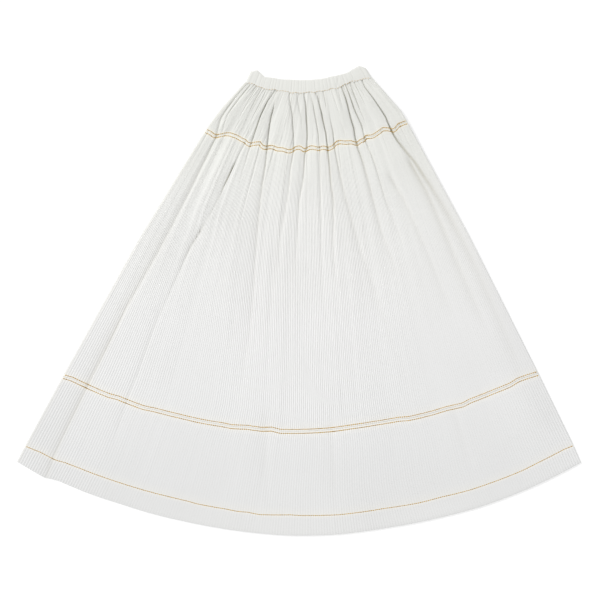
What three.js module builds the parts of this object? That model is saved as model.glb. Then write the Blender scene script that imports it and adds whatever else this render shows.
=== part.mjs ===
import * as THREE from 'three';

// Long skirt of finely pleated cloth, laid flat: a gathered waistband, an upper
// tier, a middle tier and a lower tier with its hem turned up. Millimetres.
// +Y runs to the waist, +Z up from the surface, x = 0 on the middle of the width.

// ---- driving dimensions -------------------------------------------------
const GAP = 0.3;            // between sewn pieces, and between the two layers
const WALL = 2.0;           // pleated cloth, from the back of a pleat to its face
const HEM_WALL = 3.2;       // the same cloth where the hem is turned up on it
const HEM_STEP = 0.06;      // share of the lower tier over which the hem thickens
const BAND_WALL = 4.6;      // casing: gathered cloth either side of an elastic
const BAND_BORE = 0.8;      // space between the band's two layers when flat
const BAND_PUCKER = 0.6;    // height of the band's gathers
const RIDGE = 0.7;          // relief of the pleats; one ridge stands for four of them
const EDGE_ROLL = 26;       // the front rolls down to the side seam over this width
const FRONT_COLS = 100;     // two columns to a ridge
const BACK_COLS = 30;
const BAND_COLS = 44;       // across the front of the band
const BAND_BACK_COLS = 30;
const TURN_STEPS = 5;       // the band's turn at each side
const X0 = 0.6, Y0 = 0.5;   // puts the box's middle on the origin

// Arcs across the skirt, waist to hem: ends on the outline, lowest point between.
// v counts the seams down the skirt: 0 waist, 1 upper, 2 lower, 3 hem edge.
// crest: how high the gathers carry the front off the back.
const SECTIONS = [
  { at: 'band top',    v: -1.00, xLeft: -100.5, yLeft:  471.5, xMid:  5.1, yMid:  454.1, xRight: 135.3, yRight:  479.7, crest: 5.5 },
  { at: 'waist seam',  v:  0.00, xLeft: -110.7, yLeft:  450.0, xMid:  5.1, yMid:  428.0, xRight: 148.0, yRight:  460.2, crest: 5.5 },
  { at: 'yoke',        v:  0.50, xLeft: -154.8, yLeft:  401.5, xMid:  5.1, yMid:  370.0, xRight: 186.6, yRight:  415.6, crest: 7.0 },
  { at: 'yoke, low',   v:  0.75, xLeft: -175.4, yLeft:  375.0, xMid:  5.1, yMid:  341.0, xRight: 207.6, yRight:  391.6, crest: 7.6 },
  { at: 'upper seam',  v:  1.00, xLeft: -193.2, yLeft:  349.5, xMid:  5.1, yMid:  312.0, xRight: 221.4, yRight:  367.4, crest: 8.0 },
  { at: 'hip',         v:  1.45, xLeft: -330.6, yLeft:  126.1, xMid:  5.1, yMid:   52.3, xRight: 347.6, yRight:  135.7, crest: 4.2 },
  { at: 'lower seam',  v:  2.00, xLeft: -484.8, yLeft: -152.7, xMid:  1.0, yMid: -264.7, xRight: 489.9, yRight: -146.6, crest: 1.4 },
  { at: 'hem stitch',  v:  2.70, xLeft: -563.2, yLeft: -297.3, xMid:  5.1, yMid: -438.7, xRight: 562.4, yRight: -295.2, crest: 0.7 },
  { at: 'hem edge',    v:  3.00, xLeft: -579.2, yLeft: -328.0, xMid: 13.3, yMid: -480.3, xRight: 577.6, yRight: -330.1, crest: 0.3 },
];

// Where the cloth lies off those arcs: at v, about the share u of the width, the
// line lies this many mm further down the skirt (under 0, up), over spread of the
// width and reach of v.
const SWAYS = [
  { at: 'band, left corner',   v: -1.0, u: 0.00, down:  9.0, spread: 0.020, reach: 0.6 },
  { at: 'band, left',          v: -1.0, u: 0.08, down: -4.5, spread: 0.050, reach: 1.0 },
  { at: 'band, right',         v: -1.0, u: 0.84, down: -5.8, spread: 0.200, reach: 1.0 },
  { at: 'band, right corner',  v: -1.0, u: 1.00, down:  8.5, spread: 0.025, reach: 0.6 },
  { at: 'waist, right',        v:  0.0, u: 0.83, down: -6.4, spread: 0.120, reach: 1.0 },
  { at: 'upper seam, left',    v:  1.0, u: 0.12, down: -8.5, spread: 0.036, reach: 0.35 },
  { at: 'upper seam, middle',  v:  1.0, u: 0.41, down:  5.0, spread: 0.022, reach: 0.35 },
  { at: 'upper seam, gather',  v:  1.0, u: 0.65, down: -5.8, spread: 0.024, reach: 0.35 },
  { at: 'upper seam, fold',    v:  1.0, u: 0.74, down:  4.8, spread: 0.018, reach: 0.35 },
  { at: 'upper seam, right',   v:  1.0, u: 0.87, down: -6.0, spread: 0.030, reach: 0.35 },
  { at: 'lower seam, left',    v:  2.0, u: 0.22, down: -2.0, spread: 0.050, reach: 0.5 },
  { at: 'lower seam, middle',  v:  2.0, u: 0.49, down:  1.8, spread: 0.050, reach: 0.5 },
  { at: 'lower seam, inner',   v:  2.0, u: 0.67, down: -3.4, spread: 0.050, reach: 0.5 },
  { at: 'lower seam, right',   v:  2.0, u: 0.95, down: -4.0, spread: 0.045, reach: 0.5 },
  { at: 'hem stitch, left',    v:  2.7, u: 0.18, down: -4.6, spread: 0.150, reach: 0.7 },
  { at: 'hem edge, left',      v:  3.0, u: 0.25, down: -5.8, spread: 0.140, reach: 0.9 },
  { at: 'hem edge, right',     v:  3.0, u: 0.69, down: -2.8, spread: 0.080, reach: 0.9 },
];

// Gather folds, left to right: where each valley crosses the waist, the upper
// seam, the hip and the lower seam, as a share of the width there; the seams it
// runs between; how much of the crest it takes; its half width at the upper seam.
const FOLDS = [
  { fold: 'left edge',    waist: 0.016, upper: 0.058, hip: 0.067, lower: 0.050, from: 0.0, to: 3.0, depth: 0.85, half: 5.5 },
  { fold: 'left short',   waist: 0.134, upper: 0.158, hip: 0.158, lower: 0.158, from: 0.0, to: 0.6, depth: 0.45, half: 4.0 },
  { fold: 'left inner',   waist: 0.178, upper: 0.178, hip: 0.178, lower: 0.178, from: 0.0, to: 0.6, depth: 0.45, half: 4.0 },
  { fold: 'left hip',     waist: 0.195, upper: 0.197, hip: 0.138, lower: 0.136, from: 0.9, to: 2.3, depth: 0.95, half: 5.5 },
  { fold: 'left gather',  waist: 0.235, upper: 0.223, hip: 0.200, lower: 0.200, from: 0.0, to: 1.1, depth: 0.90, half: 4.5 },
  { fold: 'left front',   waist: 0.250, upper: 0.303, hip: 0.352, lower: 0.368, from: 0.2, to: 1.9, depth: 1.00, half: 5.0 },
  { fold: 'left centre',  waist: 0.349, upper: 0.431, hip: 0.413, lower: 0.410, from: 0.0, to: 1.6, depth: 0.80, half: 5.0 },
  { fold: 'centre short', waist: 0.404, upper: 0.480, hip: 0.480, lower: 0.480, from: 0.0, to: 0.6, depth: 0.50, half: 3.5 },
  { fold: 'centre',       waist: 0.458, upper: 0.492, hip: 0.469, lower: 0.460, from: 0.0, to: 1.4, depth: 1.00, half: 5.0 },
  { fold: 'centre right', waist: 0.496, upper: 0.554, hip: 0.547, lower: 0.547, from: 0.0, to: 1.6, depth: 0.55, half: 4.0 },
  { fold: 'right centre', waist: 0.540, upper: 0.592, hip: 0.586, lower: 0.580, from: 0.0, to: 1.5, depth: 1.00, half: 5.0 },
  { fold: 'right inner',  waist: 0.625, upper: 0.626, hip: 0.680, lower: 0.740, from: 0.4, to: 1.9, depth: 0.75, half: 4.5 },
  { fold: 'right front',  waist: 0.750, upper: 0.731, hip: 0.760, lower: 0.770, from: 0.0, to: 1.6, depth: 1.00, half: 4.5 },
  { fold: 'right second', waist: 0.790, upper: 0.774, hip: 0.802, lower: 0.810, from: 0.0, to: 1.5, depth: 0.70, half: 4.5 },
  { fold: 'right short',  waist: 0.858, upper: 0.835, hip: 0.835, lower: 0.835, from: 0.0, to: 0.5, depth: 0.45, half: 3.5 },
  { fold: 'right edge',   waist: 0.918, upper: 0.908, hip: 0.962, lower: 0.957, from: 0.0, to: 2.1, depth: 0.90, half: 5.0 },
];

// Rings of each tier, as v.
const UPPER_ROWS = [0, 0.25, 0.5, 0.75, 1];
const MIDDLE_ROWS = [1, 1.07, 1.15, 1.27, 1.42, 1.6, 1.8, 2];
const LOWER_ROWS = [2, 2.7 - HEM_STEP, 2.7, 3];
const UPPER_BACK_ROWS = [0, 0.5, 0.75, 1];
const MIDDLE_BACK_ROWS = [1, 1.45, 2];

const CLOTH = { color: 0xecece7, roughness: 0.88, metalness: 0 };
const HEM_CLOTH = { color: 0xeaeae5, roughness: 0.88, metalness: 0 };
const BAND_CLOTH = { color: 0xe9e9e2, roughness: 0.9, metalness: 0 };

// ---- the fan of the skirt -----------------------------------------------
const mix = (a, b, t) => a + (b - a) * t;
const clamp = (x, lo, hi) => Math.min(hi, Math.max(lo, x));
const smooth = (t) => { const k = clamp(t, 0, 1); return k * k * (3 - 2 * k); };

function arcOf(s) {
  const [ax, ay, bx, by, cx, cy] = [s.xLeft, s.yLeft, s.xMid, s.yMid, s.xRight, s.yRight];
  const d = 2 * (ax * (by - cy) + bx * (cy - ay) + cx * (ay - by));
  const a2 = ax * ax + ay * ay, b2 = bx * bx + by * by, c2 = cx * cx + cy * cy;
  const x = (a2 * (by - cy) + b2 * (cy - ay) + c2 * (ay - by)) / d;
  const y = (a2 * (cx - bx) + b2 * (ax - cx) + c2 * (bx - ax)) / d;
  return { v: s.v, crest: s.crest, x, y, r: Math.hypot(ax - x, ay - y),
           from: Math.atan2(ax - x, y - ay), to: Math.atan2(cx - x, y - cy) };
}
const ARCS = SECTIONS.map(arcOf);

function between(v) {
  let k = 0;
  while (k < ARCS.length - 2 && v > ARCS[k + 1].v) k++;
  return { a: ARCS[k], b: ARCS[k + 1], t: (v - ARCS[k].v) / (ARCS[k + 1].v - ARCS[k].v) };
}
function onArc(arc, u) {
  const angle = mix(arc.from, arc.to, u);
  return [X0 + arc.x + arc.r * Math.sin(angle), Y0 + arc.y - arc.r * Math.cos(angle)];
}
function onFan(u, v) {
  const { a, b, t } = between(v);
  const p = onArc(a, u), q = onArc(b, u);
  return [mix(p[0], q[0], t), mix(p[1], q[1], t)];
}
function widthAt(v) {
  const { a, b, t } = between(v);
  return mix(a.r * (a.to - a.from), b.r * (b.to - b.from), t);
}
function crestAt(v) {
  const { a, b, t } = between(v);
  return mix(a.crest, b.crest, smooth(t));
}
function downAt(u, v) {           // unit step down the skirt along a pleat
  const w = clamp(v, -0.99, 2.99);
  const p = onFan(u, w - 0.01), q = onFan(u, w + 0.01);
  const n = Math.hypot(q[0] - p[0], q[1] - p[1]);
  return [(q[0] - p[0]) / n, (q[1] - p[1]) / n];
}
function swayAt(u, v) {
  let down = 0;
  for (const s of SWAYS) {
    const off = (u - s.u) / s.spread;
    down += s.down * Math.exp(-off * off) * clamp(1 - Math.abs(v - s.v) / s.reach, 0, 1);
  }
  return down;
}
function point(u, v) {            // place on the fan, with its sway
  const p = onFan(u, v), d = downAt(u, v), s = swayAt(u, v);
  return [p[0] + d[0] * s, p[1] + d[1] * s];
}

// ---- heights ------------------------------------------------------------
function wallAt(v) { return mix(WALL, HEM_WALL, smooth((v - (2.7 - HEM_STEP)) / HEM_STEP)); }

function valleyAt(f, v) {
  if (v <= 1) return mix(f.waist, f.upper, clamp(v, 0, 1));
  if (v <= 1.45) return mix(f.upper, f.hip, (v - 1) / 0.45);
  return mix(f.hip, f.lower, clamp((v - 1.45) / 0.55, 0, 1));
}
function foldsAt(u, v) {
  const width = widthAt(v), spread = Math.pow(width / widthAt(1), 0.7);
  let taken = 0;
  for (const f of FOLDS) {
    if (v < f.from - 0.15 || v > f.to) continue;
    const run = smooth((v - f.from + 0.15) / 0.15) * Math.pow(clamp((f.to - v) / Math.min(1, f.to - f.from), 0, 1), 0.6);
    const off = (u - valleyAt(f, v)) * width / (f.half * spread);
    taken = Math.max(taken, f.depth * run * Math.exp(-off * off));
  }
  return taken;
}
function roll(u, v) {             // the front comes down to the side seams
  const d = clamp(Math.min(u, 1 - u) * widthAt(v) / EDGE_ROLL, 0, 1);
  return Math.sqrt(1 - (1 - d) * (1 - d));
}
function frontLow(u, v, column) {
  const lift = roll(u, v) * crestAt(v) * (1 - foldsAt(u, v));
  const ridge = column % 2 ? RIDGE * Math.min(1, roll(u, v) * 1.2) : 0;
  return wallAt(v) + GAP + lift + ridge;
}

// ---- solids -------------------------------------------------------------
function closed(name, positions, index, look) {
  const g = new THREE.BufferGeometry();
  g.setAttribute('position', new THREE.Float32BufferAttribute(positions, 3));
  g.setIndex(index);
  g.computeVertexNormals();
  const mesh = new THREE.Mesh(g, new THREE.MeshStandardMaterial(look));
  mesh.name = name;
  return mesh;
}

// A wall of cloth between two seams. low gives its underside.
function panel(name, rows, cols, low, look) {
  const pos = [], idx = [], last = rows.length - 1;
  const at = (side, r, c) => (side * rows.length + r) * (cols + 1) + c;
  for (const side of [0, 1]) {
    rows.forEach((v, r) => {
      for (let c = 0; c <= cols; c++) {
        const u = c / cols, p = point(u, v);
        const seam = r === 0 ? GAP / 2 : r === last && v < 3 ? -GAP / 2 : 0;
        const d = downAt(u, v);
        const z = low(u, v, c);
        pos.push(p[0] + d[0] * seam, p[1] + d[1] * seam, side ? z + wallAt(v) : z);
      }
    });
  }
  const quad = (a, b, c, d) => idx.push(a, b, c, a, c, d);
  for (let r = 0; r < last; r++) {
    for (let c = 0; c < cols; c++) {
      quad(at(1, r, c), at(1, r + 1, c), at(1, r + 1, c + 1), at(1, r, c + 1));
      quad(at(0, r, c), at(0, r, c + 1), at(0, r + 1, c + 1), at(0, r + 1, c));
    }
    quad(at(1, r, 0), at(0, r, 0), at(0, r + 1, 0), at(1, r + 1, 0));
    quad(at(1, r, cols), at(1, r + 1, cols), at(0, r + 1, cols), at(0, r, cols));
  }
  for (let c = 0; c < cols; c++) {
    quad(at(1, 0, c), at(1, 0, c + 1), at(0, 0, c + 1), at(0, 0, c));
    quad(at(1, last, c), at(0, last, c), at(0, last, c + 1), at(1, last, c + 1));
  }
  return closed(name, pos, idx, look);
}

// The casing: one ring of cloth, pressed flat, turning at each side.
function band(name, look) {
  const inner = BAND_BORE / 2, outer = inner + BAND_WALL;
  const middle = outer;                       // height of the ring's middle plane
  const inset = outer / widthAt(0);
  const tall = 1;                             // band top to waist seam, as v
  // Outline of the casing's section: share of its height, share of its wall.
  const shape = [[0, 0.5], [0.03, 0.85], [0.10, 1], [0.5, 1], [0.93, 1], [1, 0.8], [1, 0.2], [0.93, 0], [0.10, 0], [0.03, 0.15]];
  const stations = [];
  for (let c = 0; c <= BAND_COLS; c++) stations.push({ u: c / BAND_COLS, turn: 0, ridge: c % 2 });
  for (let k = 1; k < TURN_STEPS; k++) stations.push({ u: 1, turn: Math.PI * k / TURN_STEPS, ridge: 0 });
  for (let c = 0; c <= BAND_BACK_COLS; c++) stations.push({ u: 1 - c / BAND_BACK_COLS, turn: Math.PI, ridge: 0 });
  for (let k = 1; k < TURN_STEPS; k++) stations.push({ u: 0, turn: Math.PI * (1 + k / TURN_STEPS), ridge: 0 });
  const pos = [], idx = [], n = shape.length, m = stations.length;
  for (const s of stations) {
    const u = mix(inset, 1 - inset, s.u);
    for (const [h, w] of shape) {
      const v = -1 + h * tall;
      const p = point(u, v);
      const q = point(u + 0.002, v), o = point(u - 0.002, v);
      const len = Math.hypot(q[0] - o[0], q[1] - o[1]);
      const d = downAt(u, v);
      const away = inner + BAND_WALL * w + (w === 1 ? s.ridge * BAND_PUCKER : 0);
      const side = Math.sin(s.turn) * away;
      const seam = h === 1 ? -GAP / 2 : 0;
      pos.push(p[0] + (q[0] - o[0]) / len * side + d[0] * seam,
               p[1] + (q[1] - o[1]) / len * side + d[1] * seam,
               middle + Math.cos(s.turn) * away);
    }
  }
  for (let a = 0; a < m; a++) {
    const b = (a + 1) % m;
    for (let i = 0; i < n; i++) {
      const j = (i + 1) % n;
      idx.push(a * n + i, a * n + j, b * n + j, a * n + i, b * n + j, b * n + i);
    }
  }
  return closed(name, pos, idx, look);
}

const skirt = new THREE.Group();
skirt.name = 'pleated_skirt';
const flat = () => 0;
skirt.add(band('waistband', BAND_CLOTH));
skirt.add(panel('upper_tier_front', UPPER_ROWS, FRONT_COLS, frontLow, CLOTH));
skirt.add(panel('middle_tier_front', MIDDLE_ROWS, FRONT_COLS, frontLow, CLOTH));
skirt.add(panel('lower_tier_front', LOWER_ROWS, FRONT_COLS, frontLow, HEM_CLOTH));
skirt.add(panel('upper_tier_back', UPPER_BACK_ROWS, BACK_COLS, flat, CLOTH));
skirt.add(panel('middle_tier_back', MIDDLE_BACK_ROWS, BACK_COLS, flat, CLOTH));
skirt.add(panel('lower_tier_back', LOWER_ROWS, BACK_COLS, flat, HEM_CLOTH));

export default skirt;
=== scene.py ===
import math

import bpy
import numpy as np
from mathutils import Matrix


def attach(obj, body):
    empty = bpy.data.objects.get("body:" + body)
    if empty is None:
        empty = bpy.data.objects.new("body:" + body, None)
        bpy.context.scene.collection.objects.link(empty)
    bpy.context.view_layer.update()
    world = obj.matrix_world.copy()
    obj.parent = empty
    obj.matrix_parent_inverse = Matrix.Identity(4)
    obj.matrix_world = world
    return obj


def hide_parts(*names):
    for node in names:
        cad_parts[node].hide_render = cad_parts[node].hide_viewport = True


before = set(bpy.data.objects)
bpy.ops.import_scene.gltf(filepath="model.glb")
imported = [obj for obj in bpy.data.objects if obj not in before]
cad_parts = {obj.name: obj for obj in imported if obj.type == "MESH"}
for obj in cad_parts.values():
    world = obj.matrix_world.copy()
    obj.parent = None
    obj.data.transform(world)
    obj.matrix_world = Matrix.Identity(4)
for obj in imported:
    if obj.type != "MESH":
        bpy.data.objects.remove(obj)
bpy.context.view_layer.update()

MM = 0.001
RNG = np.random.default_rng(4127)

# ---------------------------------------------------------------- sizes, mm
PLEATS = 215            # fine pleats across the front, as many across the back
PER_PLEAT = 4           # columns to a pleat
SHEET = 0.55            # thickness of the cloth itself
# Depth of a pleat as a share of its pitch, down the skirt.
PLEAT_DEPTH = [(-1, .34), (0, .34), (1, .34), (1.2, .32), (1.45, .30), (1.7, .26), (2, .22), (2.6, .19), (2.8, .20), (3, .20)]
# How open the pleats lie across the width: at the hip, half way down, above the lower seam and below it.
OPEN = {
    1.2: [(0, 1.3), (.1, 1.25), (.2, 1.4), (.29, 1.9), (.375, 2.0), (.46, 1.9), (.54, 1.7), (.625, 1.9), (.71, 1.7), (.79, 1.7), (.87, .7), (1, 1.2)],
    1.5: [(0, 1.45), (.13, 1.25), (.21, 1.05), (.29, 1.7), (.375, 2.0), (.46, 2.4), (.54, 2.1), (.625, 1.9), (.71, 1.7), (.79, 1.0), (.87, .5), (1, .9)],
    1.85: [(0, 1.15), (.13, 1.2), (.21, .65), (.29, .85), (.375, 1.4), (.46, 1.8), (.54, 2.0), (.625, 1.9), (.71, 1.2), (.79, .3), (.87, .2), (1, .6)],
    2.25: [(0, 1.05), (.11, .75), (.18, .3), (.29, .25), (.375, .35), (.46, .5), (.54, .5), (.625, .65), (.71, .4), (.79, .3), (.87, .25), (.95, .9), (1, 1.5)],
}
# How the fine pleats fan out, down the skirt: how much wider they stand in the middle
# than at the sides, and how far they drift to the right.
FAN = [(0, 0, 0), (.8, .08, -.006), (1.15, .24, -.010), (1.27, .24, -.008), (1.36, .12, -.006), (1.54, 0, 0), (1.71, -.12, .004),
       (1.93, -.18, .007), (2.15, -.10, .005), (2.5, -.08, 0), (3, .03, 0)]
# How unevenly the pleats stand, one against the next, in mm.
UNEVEN = [(-1, .20), (0, .28), (1, .28), (1.2, .22), (1.45, .13), (2, .07), (3, .05)]
SIDE_TURN = 7.5         # how far in from the left side fold the front is still rising
SINK, SINK_OVER = .5, 42.0     # its slope near the right one: share of the crest, mm
TUCK = 0.62             # how far a sewn edge lies under the piece above it
RIB = 0.45              # the seam stands up between its two rows of stitches
HEM_TURN = 40.0         # depth of the turned-up hem
ROW_SPACING = {1: 6.9, 2: 8.2}      # between the two rows of each double seam
STITCH = 3.9            # length of a stitch, and the gap to the next
STITCH_GAP = 0.35
THREAD_H = 0.62
THREAD_W = 2.25         # the seams' rows; the hem's is finer
THREAD_W_FINE = 1.85
BAND_WALL = 4.4
BAND_BORE = 0.8

# Arcs across the skirt, waist to hem: ends on the outline, lowest point between.
SECTIONS = [
    dict(v=-1.00, l=(-100.5, 471.5), m=(5.1, 454.1), r=(135.3, 479.7)),
    dict(v=0.00, l=(-110.7, 450.0), m=(5.1, 428.0), r=(148.0, 460.2)),
    dict(v=0.50, l=(-154.8, 401.5), m=(5.1, 370.0), r=(186.6, 415.6)),
    dict(v=0.75, l=(-175.4, 375.0), m=(5.1, 341.0), r=(207.6, 391.6)),
    dict(v=1.00, l=(-193.2, 349.5), m=(5.1, 312.0), r=(221.4, 367.4)),
    dict(v=1.45, l=(-330.6, 126.1), m=(5.1, 52.3), r=(347.6, 135.7)),
    dict(v=2.00, l=(-484.8, -152.7), m=(1.0, -264.7), r=(489.9, -146.6)),
    dict(v=2.70, l=(-563.2, -297.3), m=(5.1, -438.7), r=(562.4, -295.2)),
    dict(v=3.00, l=(-579.2, -328.0), m=(13.3, -480.3), r=(577.6, -330.1)),
]
X_SHIFT, Y_SHIFT = 0.6, 0.5
# How far the gathers stand off the back, and the height of the valleys.
CREST = [(-1, 3.4), (0, 3.7), (.10, 5.6), (.35, 9.4), (1, 11.2), (1.2, 8.6), (1.45, 6.2), (2, 3.6), (2.7, 2.5), (3, 2.0)]
BASE = [(-1, 4.3), (0, 4.3), (1, 4.8), (1.45, 4.0), (2, 3.0), (2.7, 3.2), (3, 3.4)]

# Creases of the front, left to right. path: (v, share of the width). depth: share
# of the crest that it takes. w: half width at the upper seam. lean: + steeper on
# its right. fade: how it dies out, 1 evenly, under 1 late.
# A further entry sets how strongly painted shade darkens a crease's core and sides.
CREASES = [
    dict(path=[(0.03, .016), (0.70, .027), (1.01, .058), (1.22, .064), (1.45, .065), (1.66, .053), (2.0, .051), (2.5, .050), (3.001, .055)], depth=[(0, .45), (.85, .55), (1.03, .60), (1.15, .52), (1.35, .66), (1.75, 1.0), (3, 1.0)], w=[(0, 4.6), (1, 5.0), (1.2, 5.6), (3, 6.2)], lean=.7, fade=.06, slot=.6, sharp=.75, lap=[(1, .05), (1.4, .15), (1.7, .5), (3, .55)], shade_paint=[(0, 1), (1.2, 1), (1.5, 1.8), (2, 3.4), (3, 4.4)]),
    dict(path=[(0.02, .042), (0.60, .046), (0.98, .074)], depth=.50, w=3.2, lean=0, fade=.5),
    dict(path=[(0.0, .100), (0.30, .105), (0.70, .118)], depth=.35, w=3.0, lean=0, fade=.8),
    dict(path=[(0.02, .136), (0.20, .139), (0.62, .152)], depth=.50, w=3.4, lean=.2, fade=.8),
    dict(path=[(0.02, .172), (0.19, .178), (0.62, .180)], depth=.50, w=3.0, lean=.2, fade=.8),
    dict(path=[(0.985, .199), (1.00, .197), (1.05, .186), (1.10, .179), (1.16, .174), (1.22, .172), (1.30, .161), (1.40, .146), (1.57, .139), (1.71, .133), (1.88, .137), (2.0, .136), (2.34, .141)], abrupt=True, depth=[(1, .2), (1.065, .2), (1.10, 1.05), (1.15, 1.0), (1.20, .35), (1.31, .25), (1.35, 1.15), (1.42, .9), (1.50, .55), (2.3, .8)], w=[(1, 3.0), (1.25, 3.0), (1.4, 3.8), (2, 3.8)], lean=.1, fade=.3, slot=.5, sharp=[(1, 1.3), (1.1, 1.6), (1.2, 1.5), (1.35, 2.0), (1.5, 1.4)], shade_paint=[(1, 1), (1.1, 1.1), (1.2, 1), (1.35, 1.25), (1.5, 1), (2.3, 1)], lap=.2),
    dict(path=[(0.0, .237), (0.21, .217), (0.46, .217), (0.70, .220), (0.96, .224), (1.14, .226)], depth=[(0, .95), (.96, .95), (1.03, .45), (1.14, .3)], w=4.2, lean=.2, fade=.3),
    dict(path=[(0.18, .262), (0.31, .272), (0.61, .283), (1.00, .303), (1.06, .312), (1.14, .318), (1.30, .334), (1.47, .353), (1.65, .363), (1.90, .364)], depth=.92, w=4.2, lean=-.2, fade=.6),
    dict(path=[(0.0, .349), (0.14, .362), (0.40, .400), (0.70, .418), (1.00, .431), (1.07, .424), (1.16, .425), (1.31, .413), (1.60, .411)], depth=.72, w=[(0, 3.6), (1, 3.8), (1.2, 5.5), (1.8, 6)], lean=0, fade=.6),
    dict(path=[(0.0, .404), (0.48, .458), (0.66, .462)], depth=.55, w=3.0, lean=.2, fade=.8),
    dict(path=[(0.0, .458), (0.22, .478), (0.57, .489), (0.98, .492), (1.02, .484), (1.11, .481), (1.18, .470), (1.36, .469), (1.46, .468)], depth=.93, w=4.0, lean=.15, fade=.45),
    dict(path=[(0.0, .496), (0.19, .525), (0.49, .541), (1.01, .554), (1.15, .552), (1.36, .548), (1.60, .547)], depth=.58, w=3.2, lean=-.1, fade=.6),
    dict(path=[(0.0, .545), (0.11, .562), (0.41, .579), (0.72, .586), (1.00, .592), (1.13, .594), (1.19, .598), (1.36, .586), (1.48, .585)], depth=[(0, .9), (.95, 1.0), (1.08, 1.5), (1.3, 1.3), (1.48, 1.2)], w=4.2, lean=-.2, fade=.45, sharp=1.2),
    dict(path=[(0.40, .624), (1.01, .624), (1.07, .631), (1.14, .638), (1.21, .648), (1.32, .662), (1.49, .686), (1.64, .706), (1.85, .726)], depth=[(0, .55), (.95, .58), (1.1, .8), (3, .8)], w=[(0, 3.6), (1, 3.8), (1.2, 5.5), (1.8, 6)], lean=-.25, fade=.6, into=.5),
    dict(path=[(0.0, .752), (0.22, .751), (0.62, .736), (0.91, .730), (1.02, .731), (1.06, .738), (1.17, .743), (1.32, .746), (1.50, .764)], depth=1.0, w=4.4, lean=-.2, fade=.38, shade_paint=1.2),
    dict(path=[(0.0, .788), (0.19, .784), (0.43, .777), (0.71, .777), (1.01, .774), (1.04, .780), (1.10, .787), (1.22, .788), (1.42, .804)], depth=[(0, 1.05), (.35, .98), (.6, .8), (1, .8), (1.08, 1.2), (1.42, 1.4)], w=3.6, lean=-.2, fade=.6, shade_paint=[(0, 1.5), (.35, 1.3), (.6, 1), (3, 1)]),
    dict(path=[(0.0, .824), (0.18, .815), (0.40, .808), (0.86, .798)], depth=[(0, .95), (.22, .85), (.45, .55), (.86, .42)], w=3.0, lean=0, fade=.7, shade_paint=[(0, 1.5), (.25, 1.3), (.5, 1), (3, 1)]),
    dict(path=[(0.0, .857), (0.30, .850), (0.52, .847)], depth=[(0, .72), (.5, .5)], w=3.0, lean=0, fade=.8),
    dict(path=[(0.0, .918), (0.16, .907), (0.37, .911), (0.59, .911), (0.87, .907), (1.01, .908), (1.04, .913), (1.10, .931), (1.14, .944), (1.24, .958), (1.36, .969), (1.50, .973), (1.64, .973), (1.80, .970), (2.05, .960)], depth=[(0, 1), (.13, 1), (.26, .72), (.52, .74), (.74, .98), (1, 1), (1.06, 1.3), (1.4, 1.3), (2.05, 1.2)], w=[(0, 3.9), (.13, 3.8), (.26, 3.0), (.52, 3.1), (.74, 4.1), (1, 4.4), (1.14, 6.0), (1.25, 7.5), (2, 7)], lean=.1, fade=.40, lap=.3, sharp=[(0, 1.1), (1, 1.2), (1.1, 1.6), (1.2, 1.3), (1.4, 1)], shade_paint=[(0, 1), (1, 1.1), (1.12, 1.5), (1.25, 1.2), (2, 1.3)]),
    dict(path=[(1.12, .925), (1.24, .936), (1.36, .936), (1.50, .932), (1.80, .935)], depth=.95, w=7.0, lean=0, fade=.4, shade_paint=1.2),
    dict(path=[(1.15, .830), (1.24, .850), (1.40, .862), (1.70, .874)], depth=.6, w=6.0, lean=0, fade=.5),
    dict(path=[(0.0, .607), (0.34, .612)], depth=.6, w=3.0, lean=0, fade=.5),
    dict(path=[(1.97, .424), (2.30, .432), (2.72, .444)], depth=.55, w=7.0, lean=0, fade=.7),
    dict(path=[(1.97, .559), (2.30, .560), (2.72, .561)], depth=.50, w=7.0, lean=0, fade=.7),
    dict(path=[(2.02, .811), (2.30, .812), (2.66, .815)], depth=.45, w=7.0, lean=0, fade=.7),
]


PX = 2.05               # mm to one step of the tables below
# How far each line across the skirt lies below its arc: (share of the width, steps).
DRIFT = {
    -1.0: [(0, -.6), (.012, -2.2), (.035, -3.2), (.06, -1.9), (.087, -.3), (.113, 1.4), (.14, .9), (.19, .3), (.25, .7), (.32, .1), (.55, .1), (.64, -.2), (.70, -.9), (.78, -1.0), (.86, -1.3), (.895, -2.6), (.93, -3.1), (.955, -3.6), (.975, -3.8), (.99, -2.8), (1, -1.5)],
    0.0: [(0, .6), (.09, .4), (.155, 1.8), (.20, .6), (.24, .5), (.30, .2), (.36, 1.1), (.43, 1.2), (.48, .5), (.60, .3), (.67, -.4), (.745, -.1), (.79, -2.3), (.82, -2.6), (.87, -2.2), (.93, -.8), (1, .8)],
    2.0: [(0, .6), (.018, -1), (.10, -.3), (.12, -1.3), (.175, .0), (.20, -1), (.25, -1.1), (.30, -.5), (.34, -.5), (.36, .2), (.39, -.9), (.42, 0), (.44, -.9), (.458, 1.0), (.52, .6), (.56, .2), (.60, -1.0), (.65, -1.7), (.70, -1.7), (.72, -.3), (.77, -.3), (.80, -.8), (.834, .6), (.85, -.9), (.90, -1.4), (.938, -1.2), (.956, -2.5), (.974, -1.7), (1, .4)],
    2.7: [(0, -.5), (.03, -2.1), (.058, -1.6), (.075, -3.2), (.094, -3.8), (.18, -4.2), (.27, -4.0), (.30, -3.6), (.32, -2.6), (.37, -1.9), (.39, -.9), (.41, -1.0), (.43, .5), (.484, -.6), (.50, 0), (.568, .7), (.60, .2), (.65, -.6), (.71, .2), (.75, -.4), (.80, .6), (.90, .3), (.93, -.6), (.98, -1.2), (1, 0)],
    3.0: [(0, .2), (.03, 1.0), (.052, 1.8), (.062, 0), (.078, -1.7), (.13, -1.9), (.19, -2.9), (.24, -2.6), (.30, -2.6), (.36, -2.0), (.40, -1.5), (.48, -.2), (.56, -.1), (.65, -1.4), (.73, -1.1), (.81, 0), (1, 0)],
}
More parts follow.
